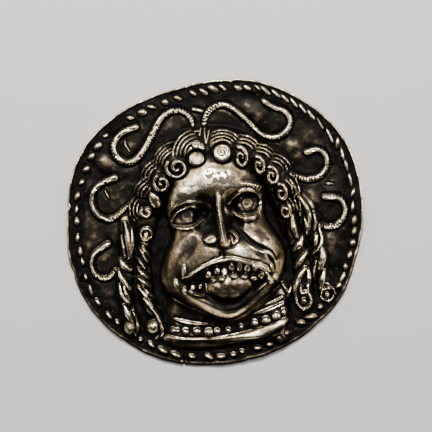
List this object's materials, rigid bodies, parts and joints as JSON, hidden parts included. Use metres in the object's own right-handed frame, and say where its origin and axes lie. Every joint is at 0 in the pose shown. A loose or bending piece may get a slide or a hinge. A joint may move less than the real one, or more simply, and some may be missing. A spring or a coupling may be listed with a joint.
{
  "type": "gorgon mask disc",
  "caption": "Silver disc raised from behind into a gorgon's head in high relief, with curls, snakes and a rope border, hollow at the back.",
  "frame": {"origin": "middle of the disc's outline at the plane its rim lies on", "axes": "+Z out of the face, +Y towards the crown of the head, +X towards the right edge as the face is seen"},
  "size_m": [0.1, 0.0966, 0.017],
  "materials": {
    "tarnished_silver": "worn silver with dark patina in the hollows"
  },
  "bodies": {
    "root": {"gorgon_disc": "tarnished_silver"}
  },
  "joints": []
}
